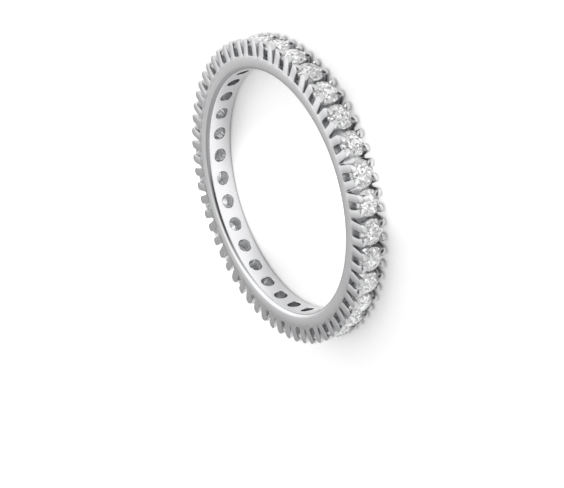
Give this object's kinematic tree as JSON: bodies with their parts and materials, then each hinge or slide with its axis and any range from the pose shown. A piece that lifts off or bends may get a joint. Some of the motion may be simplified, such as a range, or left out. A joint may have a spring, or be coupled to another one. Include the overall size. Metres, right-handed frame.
{
  "type": "eternity ring",
  "caption": "Narrow eternity ring lying on its side: a white metal hoop with claw-set round brilliants all the way round and a light hole behind each stone.",
  "frame": {"origin": "centre of the finger hole, on the plane that the ring lies on", "axes": "+Z along the axis of the finger hole, +X out through the middle of the last stone"},
  "size_m": [0.0212, 0.0212, 0.0021],
  "materials": {
    "white_metal": "polished",
    "clear_stone": "faceted, polished"
  },
  "bodies": {
    "root": {"band": "white_metal", "stone_01": "clear_stone", "stone_02": "clear_stone", "stone_03": "clear_stone", "stone_04": "clear_stone", "stone_05": "clear_stone", "stone_06": "clear_stone", "stone_07": "clear_stone", "stone_08": "clear_stone", "stone_09": "clear_stone", "stone_10": "clear_stone", "stone_11": "clear_stone", "stone_12": "clear_stone", "stone_13": "clear_stone", "stone_14": "clear_stone", "stone_15": "clear_stone", "stone_16": "clear_stone", "stone_17": "clear_stone", "stone_18": "clear_stone", "stone_19": "clear_stone", "stone_20": "clear_stone", "stone_21": "clear_stone", "stone_22": "clear_stone", "stone_23": "clear_stone", "stone_24": "clear_stone", "stone_25": "clear_stone", "stone_26": "clear_stone", "stone_27": "clear_stone", "stone_28": "clear_stone", "stone_29": "clear_stone", "stone_30": "clear_stone", "stone_31": "clear_stone", "stone_32": "clear_stone"}
  },
  "joints": []
}
